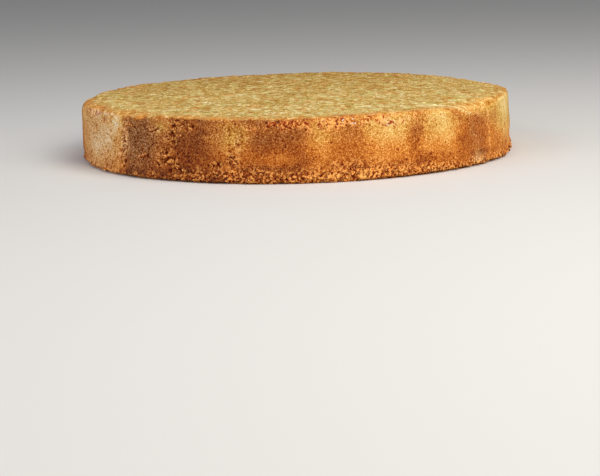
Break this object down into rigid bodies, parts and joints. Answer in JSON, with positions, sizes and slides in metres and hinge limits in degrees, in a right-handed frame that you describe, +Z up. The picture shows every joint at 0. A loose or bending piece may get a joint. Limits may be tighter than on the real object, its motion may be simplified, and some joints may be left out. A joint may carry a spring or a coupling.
{
  "type": "almond cake",
  "caption": "Plain round almond cake, low and flat-topped, browned on its side; a whole uncut cake that rests on its flat base.",
  "frame": {"origin": "middle of the flat base, on the surface that the cake stands on", "axes": "+Z up through the middle of the cake; -Y is the cake's best side, with +X to its right"},
  "size_m": [0.2297, 0.2283, 0.0322],
  "materials": {
    "golden_crust": "baked sponge crust, dry and crumbly, golden yellow on top and mottled brown on the side",
    "toasted_crumb": "loose toasted crumbs of the same sponge, dry and rough",
    "ground_almond": "bits of ground almond baked into the top, pale cream and waxy"
  },
  "bodies": {
    "root": {"cake": "golden_crust"}
  },
  "joints": []
}
